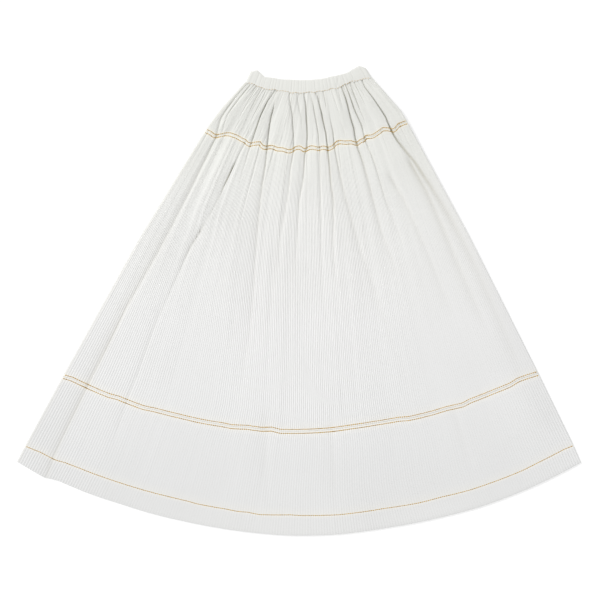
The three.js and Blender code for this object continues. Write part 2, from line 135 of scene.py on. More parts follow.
# The upper seam, drawn up and down by the gathers that it crosses.
UPPER_WAVE = [(0, 0), (.033, .6), (.048, 1.8), (.063, 1.1), (.078, -1.0), (.093, -3.3), (.115, -4.8), (.153, -4.2), (.182, -2.4), (.196, -2.1), (.211, .1), (.226, .6),
              (.24, -.9), (.269, -2.9), (.283, .5), (.298, 1.1), (.326, -.5), (.341, -.1), (.355, 1.2), (.383, 1.1), (.412, 2.8), (.426, 2.2), (.44, -.4), (.455, -1.3),
              (.469, -.9), (.483, 1.7), (.497, .7), (.512, -.9), (.526, -.8), (.554, 1.1), (.569, .1), (.583, .5), (.597, 2.0), (.612, 1.6), (.626, .1), (.64, -2.5),
              (.655, -3.1), (.684, -1.2), (.713, -.4), (.727, 1.7), (.742, 2.5), (.757, .6), (.771, .8), (.786, -1.7), (.801, -1.0), (.816, 0), (.846, -1.5),
              (.876, -3.6), (.891, -2.3), (.907, -.4), (.922, 2.0), (.937, .8), (.953, -1.0), (.968, -.9), (1, 0)]


def small_creases(rng, count, start, ends, depth, w, drift=0.02):
    """Shallow gathers of uneven length between the traced ones."""
    out = []
    for k in range(count):
        u = (k + 0.5 + rng.uniform(-0.42, 0.42)) / count
        top, end = start, start + rng.uniform(*ends)
        out.append(dict(path=[(top, u), (end, u + rng.uniform(-drift, drift))],
                        depth=rng.uniform(*depth), w=w * rng.uniform(0.75, 1.3), lean=rng.uniform(-.2, .2), fade=.9, lap=.12))
    return out


# Short creases of the yoke's two sides, under the waist seam: share, v where it ends, depth.
YOKE_SIDES = [dict(path=[(0.0, u), (end, u + (u - .5) * .02)], depth=depth, w=2.2, lean=.1, fade=.7)
              for u, end, depth in ((.020, .30, .55), (.045, .45, .45), (.068, .22, .50), (.086, .36, .34), (.119, .30, .38),
                                    (.155, .26, .42), (.192, .34, .36), (.212, .16, .30), (.768, .24, .50), (.803, .36, .48),
                                    (.832, .28, .40), (.868, .42, .42), (.884, .22, .36), (.938, .46, .34), (.962, .28, .42), (.983, .40, .34))]

FRONT = (CREASES
         + small_creases(RNG, 17, 0.0, (0.10, 0.75), (.10, .40), 2.6)
         + small_creases(RNG, 21, 0.0, (0.06, 0.30), (.10, .34), 1.8)
         + YOKE_SIDES
         + small_creases(RNG, 15, 0.60, (0.36, 0.42), (.08, .30), 3.0, 0.006)
         + [c for k, c in enumerate(small_creases(RNG, 18, 0.985, (0.10, 0.50), (.08, .28), 3.6)) if k not in (2, 3)]
         + small_creases(RNG, 12, 1.97, (0.20, 0.60), (.06, .16), 7.0, 0.008))


def back_creases(rng):
    """Gathers of the back, in the same manner as the front's and as uneven."""
    out = []
    for u, end, depth, w in ((.07, 2.3, .8, 5.0), (.15, .7, .5, 3.2), (.22, 1.55, .95, 4.4), (.28, .6, .5, 3.2),
                             (.34, 1.7, 1.0, 4.2), (.41, 1.2, .6, 3.4), (.47, 1.5, .95, 4.4), (.53, .65, .5, 3.0),
                             (.58, 1.65, .9, 4.0), (.66, 1.35, 1.0, 4.4), (.72, .8, .5, 3.2), (.79, 1.75, .9, 4.2),
                             (.86, .6, .5, 3.0), (.93, 2.1, .85, 4.8)):
        top = u + rng.uniform(-.015, .015)
        mid = u + rng.uniform(-.012, .012)
        low = u + (u - .5) * rng.uniform(.02, .16)
        path = [(0.0, top), (min(1.0, end * .7), mid)]
        if end > 1.0:
            path += [(1.02, mid), (end, low)]
        else:
            path += [(end, mid)]
        out.append(dict(path=path, depth=depth, w=w, lean=rng.uniform(-.25, .25), fade=.5))
    return (out + small_creases(rng, 30, 0.0, (0.18, 0.75), (.12, .34), 2.4)
            + small_creases(rng, 26, 0.985, (0.10, 0.42), (.08, .24), 3.0)
            + small_creases(rng, 14, 1.97, (0.20, 0.60), (.10, .28), 6.0, 0.008))


BACK = back_creases(RNG)


# ------------------------------------------------------------ the skirt's fan
def arc_of(s):
    (ax, ay), (bx, by), (cx, cy) = s["l"], s["m"], s["r"]
    d = 2 * (ax * (by - cy) + bx * (cy - ay) + cx * (ay - by))
    a2, b2, c2 = ax * ax + ay * ay, bx * bx + by * by, cx * cx + cy * cy
    x = (a2 * (by - cy) + b2 * (cy - ay) + c2 * (ay - by)) / d
    y = (a2 * (cx - bx) + b2 * (ax - cx) + c2 * (bx - ax)) / d
    return dict(v=s["v"], x=x, y=y, r=math.hypot(ax - x, ay - y),
                a=math.atan2(ax - x, y - ay), b=math.atan2(cx - x, y - cy))


ARCS = [arc_of(s) for s in SECTIONS]
VS = [a["v"] for a in ARCS]
WIDTHS = [a["r"] * (a["b"] - a["a"]) for a in ARCS]


def width_at(v):
    return float(np.interp(v, VS, WIDTHS))


W1 = width_at(1.0)


def smooth(t):
    t = np.clip(t, 0.0, 1.0)
    return t * t * (3 - 2 * t)


def eased(rows, v):
    """A table's value at v, rounded over at its rows."""
    at, val = [r[0] for r in rows], [r[1] for r in rows]
    return float(sum(np.interp(v + d, at, val) for d in (-.08, -.04, 0, .04, .08)) / 5)


def of(c, key, v, plain):
    """A crease's value: a number, or a table down the skirt."""
    x = c.get(key, plain)
    if np.isscalar(x):
        return x
    return float(np.interp(v, *zip(*x))) if c.get("abrupt") else eased(x, v)


def on_arc(arc, u):
    t = arc["a"] + (arc["b"] - arc["a"]) * u
    return arc["x"] + arc["r"] * np.sin(t) + X_SHIFT, arc["y"] - arc["r"] * np.cos(t) + Y_SHIFT


def point(u, v):
    k = int(np.clip(np.searchsorted(VS, v) - 1, 0, len(VS) - 2))
    t = (v - VS[k]) / (VS[k + 1] - VS[k])
    x0, y0 = on_arc(ARCS[k], u)
    x1, y1 = on_arc(ARCS[k + 1], u)
    return x0 * (1 - t) + x1 * t, y0 * (1 - t) + y1 * t


def down(u, v):
    """Unit step along a pleat, towards the hem."""
    v = float(np.clip(v, VS[0] + .01, VS[-1] - .01))
    x0, y0 = point(u, v - .01)
    x1, y1 = point(u, v + .01)
    n = np.hypot(x1 - x0, y1 - y0)
    return (x1 - x0) / n, (y1 - y0) / n


def table(rows, u):
    return np.interp(u, [r[0] for r in rows], [r[1] for r in rows]) * PX


DRIFT_VS = sorted(list(DRIFT) + [1.0])


def drift(u, v, waves=1.0):
    """How far down the skirt a point lies from its place on the plain fan."""
    k = int(np.clip(np.searchsorted(DRIFT_VS, v) - 1, 0, len(DRIFT_VS) - 2))
    a, b = DRIFT_VS[k], DRIFT_VS[k + 1]
    t = min(1.0, max(0.0, (v - a) / (b - a)))
    out = np.zeros_like(u)
    if a in DRIFT:
        out = out + table(DRIFT[a], u) * (1 - t)
    if b in DRIFT:
        out = out + table(DRIFT[b], u) * t
    # the waist seam is scalloped by the gathers below it
    out = out + max(0.0, 1 - abs(v) * 4) * (.95 * np.sin(6.283 * 11.3 * u + 1.1) + .75 * np.sin(6.283 * 17.9 * u + 4.0))
    if waves:
        d = row_mm(v, 1.0)
        out = out + waves * table(UPPER_WAVE, u) * (.75 * math.exp(-(d / 24) ** 2) + .25 * math.exp(-(d / 70) ** 2))
    return out


def mm_to_v(v, mm):
    """The v that lies mm further down the middle of the skirt."""
    k = int(np.clip(np.searchsorted(VS, v + (1e-6 if mm > 0 else -1e-6)) - 1, 0, len(VS) - 2))
    x0, y0 = point(0.5, VS[k])
    x1, y1 = point(0.5, VS[k + 1])
    return v + mm * (VS[k + 1] - VS[k]) / math.hypot(x1 - x0, y1 - y0)


# A crease's narrow slot: its half width as a share of w, and its share of the depth.
CORE_WIDTH = [(-1, .28), (0, .28), (.5, .30), (1, .33), (1.12, .50), (1.3, .75), (1.6, 1.0), (2, 1.2), (3, 1.3)]
CORE_SHARE = [(-1, .74), (0, .74), (1, .68), (1.1, .44), (1.3, .28), (1.6, .24), (2, .28), (3, .34)]
# Where its bottom lies right of its path, in mm: the far side laps over the near one.
LAP = [(-1, .6), (0, .8), (.6, 1.6), (1, 2.2), (1.1, 3.0), (3, 3.2)]


def relief(u, v, creases, crease_shade=None):
    """1 on the ridges, down to 0 in the deepest creases. The last argument takes the painted shade of their cores and
    sides.
    """
    width = width_at(v)
    spread = (width / W1) ** 0.55
    out = np.ones_like(u)
    for c in creases:
        p = c["path"]
        lo, hi = p[0][0], p[-1][0]
        if v < lo - 0.03 or v > hi:
            continue
        into = c.get("into", 0.0 if lo < 0.04 else 0.24 if lo < 0.9 else 0.06)
        run = 1.0 if into == 0 else float(smooth((v - lo + 0.03) / into))
        run *= float(np.clip((hi - v) / (hi - max(lo, 0)), 0, 1)) ** c["fade"]
        run = min(run * of(c, "depth", v, 1), .97)
        w = of(c, "w", v, 4)
        at = float(np.interp(v, [q[0] for q in p], [q[1] for q in p]))
        off = (u - at) * width - np.interp(v, *zip(*LAP))
        open_cloth = min(1.0, max(0.0, v - 1) * 6)
        lean = c["lean"] * .5 + of(c, "lap", v, .55) * open_cloth
        side = np.where(off < 0, 1 + lean, 1 - lean)
        core = np.exp(-(np.abs(off) / (w * min(c.get("slot", 9), eased(CORE_WIDTH, v)) * (.5 + .5 * side))) ** 2.2)
        soft = np.exp(-(np.abs(off) / (w * 1.7 * spread * side)) ** 1.25)
        share = min(.9, eased(CORE_SHARE, v) * of(c, "sharp", v, 1))
        out *= 1 - run * (1 - .22 * open_cloth) * (share * core + (1 - share) * soft)
        # painted shade: each crease's core, and on open cloth its soft sides, get a share of shade in the cloth's
        # colour
        if crease_shade is not None:
            both = np.exp(-(np.abs(off) / (w * 1.3 * spread * (.4 + .6 * side))) ** 1.6)
            crease_shade[:] = np.maximum(crease_shade, run * of(c, "shade_paint", v, 1) * (core * share + .30 * open_cloth * (1 - share) * both))
    return out


WAVES = [(k, RNG.uniform(0, 6.283), RNG.uniform(0.5, 1.0) / k ** 0.5, RNG.uniform(-.9, .9)) for k in (3, 5, 7, 9, 12, 15, 19, 24)]


def swell(u, v):
    """Broad, soft undulation of cloth that isn't pulled flat."""
    out = np.zeros_like(u)
    for k, phase, size, turn in WAVES:
        out += size * np.sin(6.283 * k * u + phase + turn * (v - 1))
    return out / 3.0


STITCH_ROWS = [(seam, side * gap / 2) for seam, gap in ROW_SPACING.items() for side in (-1, 1)]
ROW_VS = [mm_to_v(v, d) for v, d in STITCH_ROWS] + [2.70]


def row_mm(v, to):
    x0, y0 = point(0.5, v)
    x1, y1 = point(0.5, to)
    return math.hypot(x1 - x0, y1 - y0)


# Each pleat stands a little above or below its neighbours, more so where gathered.
STANDS = RNG.normal(0, 1, (2, PLEATS))
STANDS = (STANDS + .6 * np.roll(STANDS, 1, axis=1)) / 1.17


def opened(u, v):
    """How deep the pleats stand, against the plain depth of their row."""
    at = sorted(OPEN)
    k = int(np.clip(np.searchsorted(at, v) - 1, 0, len(at) - 2))
    t = float(smooth((v - at[k]) / (at[k + 1] - at[k])))
    here = np.interp(u, *zip(*OPEN[at[k]])) * (1 - t) + np.interp(u, *zip(*OPEN[at[k + 1]])) * t
    return 1 + (here - 1) * float(smooth((v - .9) / .4))


def fanned(u, v):
    """Where across the skirt the cloth of pleat share u lies."""
    at = [r[0] for r in FAN]
    wider = float(np.interp(v, at, [r[1] for r in FAN]))
    right = float(np.interp(v, at, [r[2] for r in FAN]))
    return u + wider * np.sin(2 * math.pi * (u - .5)) / (4 * math.pi) + right * np.sin(math.pi * u) ** 2


def pleat(u, v, crease):
    """Height of the fine pleats: round crests and narrow grooves."""
    pitch = width_at(v) / PLEATS
    depth = eased(PLEAT_DEPTH, v) * pitch
    near = min([row_mm(v, r) for r in ROW_VS] + [max(0.0, row_mm(v, k) - gap / 2) for k, gap in ROW_SPACING.items()])
    flat = 0.4 + 0.6 * float(smooth((near - 0.4) / 3.5))
    ph = (u * PLEATS) % 1.0
    shape = np.abs(np.sin(math.pi * ph)) ** 0.75 - 0.5
    k = np.clip(np.floor(u * PLEATS).astype(int), 0, PLEATS - 1)
    turn = 2.4 * v
    stand = eased(UNEVEN, v) * (STANDS[0][k] * math.cos(turn) + STANDS[1][k] * math.sin(turn)) * np.abs(np.sin(math.pi * ph)) ** 0.5
    return flat * (depth * shape * opened(u, v) + stand), depth


def seam_rib(v):
    """The sewn seam: proud between its rows of stitches, pulled in under them."""
    out = 0.0
    for k, gap in ROW_SPACING.items():
        d = row_mm(v, k)
        out += RIB * math.exp(-(d / (.34 * gap)) ** 2) - 0.55 * RIB * math.exp(-((d - gap / 2) / 1.5) ** 2)
    return out - 0.4 * RIB * math.exp(-(row_mm(v, 2.7) / 1.6) ** 2)


def front_top(u, v, crease_shade=None):
    """The front's upper face, in mm."""
    fine, depth = pleat(u, v, None)
    u = fanned(u, v)
    x, y = point(u, v)
    width = width_at(v)
    crest, base = eased(CREST, v), eased(BASE, v)
    r = relief(u, v, FRONT, crease_shade)
    d = np.clip(np.minimum(u, (1 - u) * 2.6) * width / SIDE_TURN, 0, 1)
    roll = np.sqrt(1 - (1 - d) ** 2)
    # towards its right side the front sinks a little before it turns under
    sink = 1 - SINK * float(smooth((v - .9) / .3)) * np.exp(-((1 - u) * width / SINK_OVER) ** 2)
    z = base + roll * sink * (crest * r + 0.16 * crest * swell(u, v) * r) + fine * (0.35 + 0.65 * roll)
    z += depth * 0.5 + SHEET + seam_rib(v)
    z -= 1.6 * (1 - roll) * float(smooth((v + 0.2) / 0.4))
    pull = drift(u, v)
    dx, dy = down(u, v)
    return x + dx * pull, y + dy * pull, z


def back_low(u, v, crease_shade=None):
    """The back's under face, in mm: it rests on its ridges, and creases rise."""
    x, y = point(u, v)
    width = width_at(v)
    r = relief(u, v, BACK, crease_shade)
    d = np.clip(np.minimum(u, 1 - u) * width / 16.0, 0, 1)
    roll = np.sqrt(1 - (1 - d) ** 2)
    fine, depth = pleat(u + 0.5 / PLEATS, v, r)
    rise = float(np.interp(v, [0, 1, 1.45, 2, 3], [2.6, 2.8, 2.0, 0.9, 0.3]))
    z = rise * (1 - r) * roll + (depth * 0.5 - fine) * (0.35 + 0.65 * roll) * 0.75
    z = np.maximum(z, 0.03)          # it rests on the crests of its pleats
    pull = drift(u, v, 0.0) + 4.0 * (1 - r) * math.exp(-((v - 1.0) / 0.16) ** 2)
    dx, dy = down(u, v)
    return x + dx * pull, y + dy * pull, z


# ------------------------------------------------------------------- meshes
def to_object(name, verts, faces, material, smooth_shade=True):
    me = bpy.data.meshes.new(name)
    me.from_pydata([], [], [])
    verts = np.asarray(verts, dtype=np.float64) * MM
    faces = np.asarray(faces, dtype=np.int32)
    n = faces.shape[1]
    me.vertices.add(len(verts))
    me.vertices.foreach_set("co", verts.astype(np.float32).ravel())
    me.loops.add(faces.size)
    me.loops.foreach_set("vertex_index", faces.ravel())
    me.polygons.add(len(faces))
    me.polygons.foreach_set("loop_start", np.arange(0, faces.size, n, dtype=np.int32))
    me.polygons.foreach_set("use_smooth", np.full(len(faces), smooth_shade, dtype=bool))
    me.update(calc_edges=True)
    me.validate()
    ob = bpy.data.objects.new(name, me)
    bpy.context.scene.collection.objects.link(ob)
    me.materials.append(material)
    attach(ob, "root")
    return ob


def shaded(ob, depth, name="painted_shade"):
    """Keeps a value for each vertex as a mesh attribute; by default the painted shade."""
    layer = ob.data.attributes.new(name, "FLOAT", "POINT")
    layer.data.foreach_set("value", np.asarray(depth, dtype=np.float32).ravel())


def shell(name, outer, inner, material, painted_shade=None, lit=None, warm=None):
    """A closed shell from two grids of rows, outer and inner, each row by row."""
    outer, inner = np.asarray(outer), np.asarray(inner)
    R, C, _ = outer.shape
    verts = np.concatenate([outer.reshape(-1, 3), inner.reshape(-1, 3)])
    idx = np.arange(R * C).reshape(R, C)
    o, i = idx, idx + R * C
    faces = []

    def quads(a, b, c, d):
        faces.append(np.stack([a.ravel(), b.ravel(), c.ravel(), d.ravel()], axis=1))

    quads(o[:-1, :-1], o[1:, :-1], o[1:, 1:], o[:-1, 1:])
    quads(i[:-1, :-1], i[:-1, 1:], i[1:, 1:], i[1:, :-1])
    quads(o[:-1, 0], i[:-1, 0], i[1:, 0], o[1:, 0])
    quads(o[:-1, -1], o[1:, -1], i[1:, -1], i[:-1, -1])
    quads(o[0, :-1], o[0, 1:], i[0, 1:], i[0, :-1])
    quads(o[-1, :-1], i[-1, :-1], i[-1, 1:], o[-1, 1:])
    ob = to_object(name, verts, np.concatenate(faces), material)
    shaded(ob, np.zeros(2 * R * C) if painted_shade is None else np.concatenate([np.asarray(painted_shade).ravel()] * 2))
    if lit is not None:
        shaded(ob, np.concatenate([np.asarray(lit).ravel()] * 2), "lit")
        shaded(ob, np.concatenate([np.asarray(warm).ravel()] * 2), "warm")
    return ob


def spaced(a, b, n, power=1.0):
    t = np.linspace(0, 1, n)
    return list(a + (b - a) * t ** power)


def with_seams(vs, lo, hi):
    """Rows, with extra ones either side of each stitch row between lo and hi."""
    out = set(round(v, 5) for v in vs)
    for r in ROW_VS:
        for d in (-3.6, -1.4, 0.0, 1.4, 3.6):
            v = mm_to_v(r, d)
            if lo + 1e-4 < v < hi - 1e-4:
                out.add(round(v, 5))
    out = sorted(out)
    keep = [out[0]]
    for v in out[1:-1]:
        if row_mm(keep[-1], v) > 1.1 and row_mm(v, out[-1]) > 0.8:
            keep.append(v)
    return keep + [out[-1]]


def tucked(v, start):
    """How far under its neighbour a piece lies where it is sewn to the one above."""
    seam = math.ceil(start)
    d = row_mm(v, seam) * (1 if v > seam else -1)
    return TUCK * float(np.interp(d, [-2.6, 0, 1.6], [1, .38, 0]))


def crease_and_edge_shade(u, v, crease_shade):
    """Painted shade: 0 on open cloth, 1 in the depth of a crease or on the left side fold."""
    edge = np.minimum(u, 1 - u) * width_at(v)
    return np.clip(crease_shade * 1.5 * min(1.0, eased(CREST, v) / 11.0), 0, 1) + np.where(u < .5, .62, .0) * np.exp(-(edge / 5.5) ** 2)


def painted_pleat_light(u, v):
    """Painted light: how much paler deep, open pleats of this thin cloth are made, to offset the shade of their depth.
    """
    share = float(np.interp(v, [1.1, 1.3, 1.5], [.012, .035, .055]))
    return share * (opened(u, v) - 1) * eased(PLEAT_DEPTH, v) / .3


# Painted light and shade: where the front is made a little paler (gain over 0) or greyer, about v and
# the share u of the width: how wide as a share of the width, how long down the skirt.
LIGHT_AND_SHADE_PATCHES = [
    {"at": "beside the left fold", "v": 1.15, "u": .125, "gain": .070, "wide": .045, "long": .16},
    {"at": "left edge, seam", "v": 1.07, "u": .040, "gain": -.042, "wide": .035, "long": .08},
    {"at": "left edge, hip", "v": 1.55, "u": .040, "gain": .028, "wide": .040, "long": .25},
    {"at": "left edge, low", "v": 2.30, "u": .000, "gain": -.032, "wide": .030, "long": .35},
    {"at": "left gathers", "v": 1.18, "u": .300, "gain": .040, "wide": .040, "long": .14},
    {"at": "middle gathers", "v": 1.17, "u": .375, "gain": .028, "wide": .035, "long": .10},
    {"at": "yoke, top", "v": .22, "u": .625, "gain": -.048, "wide": .035, "long": .25},
    {"at": "yoke, middle", "v": .85, "u": .460, "gain": -.042, "wide": .035, "long": .25},
    {"at": "yoke, right", "v": .60, "u": .740, "gain": -.030, "wide": .130, "long": .35},
    {"at": "right edge, hip", "v": 1.65, "u": .990, "gain": -.034, "wide": .012, "long": .28},
    {"at": "right edge, low", "v": 2.25, "u": .985, "gain": -.056, "wide": .030, "long": .38},
    {"at": "hem, right", "v": 2.88, "u": .720, "gain": .022, "wide": .100, "long": .12},
]


# Painted light and shade: the front made paler or greyer in patches.
def light_and_shade_patches(u, v):
    out = np.zeros_like(u)
    for p in LIGHT_AND_SHADE_PATCHES:
        out += p["gain"] * np.exp(-((u - p["u"]) / p["wide"]) ** 2) * math.exp(-((v - p["v"]) / p["long"]) ** 2)
    return out


def painted_thread_glow(u, v):
    """1 on the cloth about the rows of stitches, which gets a painted warm glow from them."""
    near = [max(0.0, row_mm(v, k) - gap / 2) for k, gap in ROW_SPACING.items()] + [row_mm(v, 2.70)]
    return np.full_like(u, 1 - float(smooth((min(near) - 2.2) / 2.6)))


def tier(name, rows, cols, surface, under, material):
    """A panel between two seams. under: thickness downwards from the surface, or up."""
    u = np.linspace(0, 1, cols + 1)
    outer, inner, painted_shade, lit, warm = [], [], [], [], []
    for k, v in enumerate(rows):
        crease_shade = np.zeros_like(u)
        x, y, z = surface(u, v, crease_shade)
        painted_shade.append(crease_and_edge_shade(u, v, crease_shade))
        lit.append(painted_pleat_light(u, v) + (light_and_shade_patches(u, v) if under < 0 else 0))
        warm.append(painted_thread_glow(u, v))
        z = z + tucked(v, rows[0]) * (-1 if under < 0 else 1)
        top = np.stack([x, y, z], axis=1)
        thin = .4 if k == len(rows) - 1 else 1
        other = top + np.array([0, 0, under * thin])
        outer.append(top if under < 0 else other)
        inner.append(other if under < 0 else top)
    return shell(name, outer, inner, material, painted_shade, lit, warm)


def hemmed(name, rows, cols, surface, sign, material):
    """The lowest tier: down to the fold of the hem, round it, and up inside."""
    u = np.linspace(0, 1, cols + 1)
    outer, inner, painted_shade, lit, warm = [], [], [], [], []
    t, turn = SHEET, 0.95         # cloth, and the radius of the fold's middle line
    stop = mm_to_v(3.0, -turn - t / 2)
    rows = [v for v in rows if v < stop - 0.004] + [stop]
    for k, v in enumerate(rows):
        crease_shade = np.zeros_like(u)
        x, y, z = surface(u, v, crease_shade)
        painted_shade.append(crease_and_edge_shade(u, v, crease_shade))
        lit.append(painted_pleat_light(u, v) + (light_and_shade_patches(u, v) if sign > 0 else 0))
        warm.append(painted_thread_glow(u, v))
        z = z - sign * tucked(v, rows[0])
        outer.append(np.stack([x, y, z], axis=1))
        inner.append(np.stack([x, y, z - sign * t], axis=1))
    x, y, z = surface(u, stop)
    dx, dy = down(u, stop)
    mid = z - sign * (t / 2 + turn)
    for a in (30, 60, 90, 120, 150):
        s, c = math.sin(math.radians(a)), math.cos(math.radians(a))
        for grid, r in ((outer, turn + t / 2), (inner, turn - t / 2)):
            grid.append(np.stack([x + dx * s * r, y + dy * s * r, mid + sign * c * r], axis=1))
    top_v = 2.70
    for v in np.linspace(stop, mm_to_v(top_v, -4.0), 8):
        x, y, z = surface(u, v)
        z = z - sign * (t / 2 + 2 * turn)
        outer.append(np.stack([x, y, z - sign * t / 2], axis=1))
        inner.append(np.stack([x, y, z + sign * t / 2], axis=1))
    painted_shade += [painted_shade[-1]] * (len(outer) - len(painted_shade))
    lit += [lit[-1]] * (len(outer) - len(lit))
    warm += [warm[-1] * 0] * (len(outer) - len(warm))
    if sign < 0:
        outer, inner = inner, outer
    return shell(name, outer, inner, material, painted_shade, lit, warm)


# ---------------------------------------------------------------- materials
def ramp(nodes, stops):
    r = nodes.new("ShaderNodeValToRGB")
    els = r.color_ramp.elements
    while len(els) < len(stops):
        els.new(0.5)
    for e, (p, c) in zip(els, stops):
        e.position, e.color = p, (*c, 1)
    return r


# Tone of the cloth down the skirt: where, in metres from the middle, and colour.
# It is a little creamier where it is gathered than where it spreads, and its lightness holds painted light and shade
# that offsets the shading of the pleats.
TONES = [(-.48, (.781, .781, .774)), (-.34, (.793, .794, .791)), (-.20, (.828, .828, .824)), (-.05, (.844, .842, .837)),
         (.12, (.852, .851, .837)), (.22, (.848, .848, .827)), (.31, (.838, .840, .806)), (.365, (.810, .812, .777)), (.45, (.786, .787, .751))]
# Across it, in metres from the middle: a share of that tone, painted shade that makes the right side darker than the
# middle.
ACROSS = [(-.5, .992), (-.3, .996), (-.16, 1.004), (-.06, 1.008), (.04, 1.006), (.09, .996), (.15, .978), (.30, .984), (.42, .977), (.5, .978)]


def cloth_material(name):
    """Off-white plain weave: fine crossed threads, slight unevenness, soft sheen."""
    m = bpy.data.materials.new(name)
    m.use_nodes = True
    nt = m.node_tree
    n, l = nt.nodes, nt.links
    bsdf = n["Principled BSDF"]
    bsdf.inputs["Roughness"].default_value = 0.82
    bsdf.inputs["Sheen Weight"].default_value = 0.12
    bsdf.inputs["Sheen Roughness"].default_value = 0.5
    bsdf.inputs["Specular IOR Level"].default_value = 0.25
    co = n.new("ShaderNodeTexCoord")
    big = n.new("ShaderNodeTexNoise")
    big.inputs["Scale"].default_value = 9.0
    big.inputs["Detail"].default_value = 3.0
    l.new(co.outputs["Object"], big.inputs["Vector"])
    fine = n.new("ShaderNodeTexNoise")
    fine.inputs["Scale"].default_value = 420.0
    fine.inputs["Detail"].default_value = 2.0
    l.new(co.outputs["Object"], fine.inputs["Vector"])
    mixer = n.new("ShaderNodeMix")
    mixer.data_type = "FLOAT"
    mixer.inputs[0].default_value = 0.12
    l.new(big.outputs["Fac"], mixer.inputs[2])
    l.new(fine.outputs["Fac"], mixer.inputs[3])
    xyz = n.new("ShaderNodeSeparateXYZ")
    l.new(co.outputs["Object"], xyz.inputs["Vector"])
    place = n.new("ShaderNodeMapRange")
    place.inputs["From Min"].default_value = -0.5
    place.inputs["From Max"].default_value = 0.5
    l.new(xyz.outputs["Y"], place.inputs["Value"])
    # Down the skirt and across it the tone carries painted light and shade.
    down_skirt = ramp(n, [(y + 0.5, c) for y, c in TONES])
    l.new(place.outputs["Result"], down_skirt.inputs["Fac"])
    sideways = n.new("ShaderNodeMapRange")
    sideways.inputs["From Min"].default_value = -0.5
    sideways.inputs["From Max"].default_value = 0.5
    l.new(xyz.outputs["X"], sideways.inputs["Value"])
    across = ramp(n, [(x + 0.5, (c, c, c)) for x, c in ACROSS])
    l.new(sideways.outputs["Result"], across.inputs["Fac"])
    toned = n.new("ShaderNodeMix")
    toned.data_type = "RGBA"
    toned.blend_type = "MULTIPLY"
    toned.inputs[0].default_value = 1.0
    l.new(down_skirt.outputs["Color"], toned.inputs[6])
    l.new(across.outputs["Color"], toned.inputs[7])
    uneven = ramp(n, [(0.3, (.985, .985, .982)), (0.7, (1, 1, 1))])
    l.new(mixer.outputs[0], uneven.inputs["Fac"])
    tint = n.new("ShaderNodeMix")
    tint.data_type = "RGBA"
    tint.blend_type = "MULTIPLY"
    tint.inputs[0].default_value = 1.0
    l.new(toned.outputs[2], tint.inputs[6])
    l.new(uneven.outputs["Color"], tint.inputs[7])
    # Painted shade: deep in the creases and along the left side fold the cloth is made darker and warmer.
    depth = n.new("ShaderNodeAttribute")
    depth.attribute_name = "painted_shade"
    deep = ramp(n, [(0.0, (1, 1, 1)), (0.5, (.92, .915, .90)), (1.0, (.80, .785, .74))])
    l.new(depth.outputs["Fac"], deep.inputs["Fac"])
    hollow = n.new("ShaderNodeMix")
    hollow.data_type = "RGBA"
    hollow.blend_type = "MULTIPLY"
    hollow.inputs[0].default_value = 1.0
    l.new(tint.outputs[2], hollow.inputs[6])
    l.new(deep.outputs["Color"], hollow.inputs[7])
    # Painted light and shade: the 'lit' attribute makes the cloth paler where the pleats stand open and deep, and paler
    # or greyer in patches.
    painted_gain = n.new("ShaderNodeAttribute")
    painted_gain.attribute_name = "lit"
    gain = n.new("ShaderNodeMath")
    gain.operation = "ADD"
    gain.inputs[1].default_value = 1.0
    l.new(painted_gain.outputs["Fac"], gain.inputs[0])
    lighter = n.new("ShaderNodeMix")
    lighter.data_type = "RGBA"
    lighter.blend_type = "MULTIPLY"
    lighter.inputs[0].default_value = 1.0
    l.new(hollow.outputs[2], lighter.inputs[6])
    l.new(gain.outputs[0], lighter.inputs[7])
    # Painted warm glow on the cloth beside the rows of stitches.
    beside = n.new("ShaderNodeAttribute")
    beside.attribute_name = "warm"
    glow = n.new("ShaderNodeMix")
    glow.data_type = "RGBA"
    glow.inputs[6].default_value = (1, 1, 1, 1)
    glow.inputs[7].default_value = (1.075, 1.058, 1.012, 1)
    l.new(beside.outputs["Fac"], glow.inputs[0])
    warmed = n.new("ShaderNodeMix")
    warmed.data_type = "RGBA"
    warmed.blend_type = "MULTIPLY"
    warmed.inputs[0].default_value = 1.0
    l.new(lighter.outputs[2], warmed.inputs[6])
    l.new(glow.outputs[2], warmed.inputs[7])
    l.new(warmed.outputs[2], bsdf.inputs["Base Color"])
    warp = n.new("ShaderNodeTexWave")
    warp.bands_direction = "X"
    warp.inputs["Scale"].default_value = 480.0
    warp.inputs["Distortion"].default_value = 1.2
    warp.inputs["Detail"].default_value = 1.0
    weft = n.new("ShaderNodeTexWave")
    weft.bands_direction = "Y"
    weft.inputs["Scale"].default_value = 480.0
    weft.inputs["Distortion"].default_value = 1.2
    weft.inputs["Detail"].default_value = 1.0
    l.new(co.outputs["Object"], warp.inputs["Vector"])
    l.new(co.outputs["Object"], weft.inputs["Vector"])
    weave = n.new("ShaderNodeMath")
    weave.operation = "MAXIMUM"
    l.new(warp.outputs["Fac"], weave.inputs[0])
    l.new(weft.outputs["Fac"], weave.inputs[1])
    both = n.new("ShaderNodeMath")
    both.operation = "ADD"
    l.new(weave.outputs[0], both.inputs[0])
    l.new(fine.outputs["Fac"], both.inputs[1])
    bump = n.new("ShaderNodeBump")
    bump.inputs["Strength"].default_value = 0.25
    bump.inputs["Distance"].default_value = 0.0002
    l.new(both.outputs[0], bump.inputs["Height"])
    l.new(bump.outputs["Normal"], bsdf.inputs["Normal"])
    return m


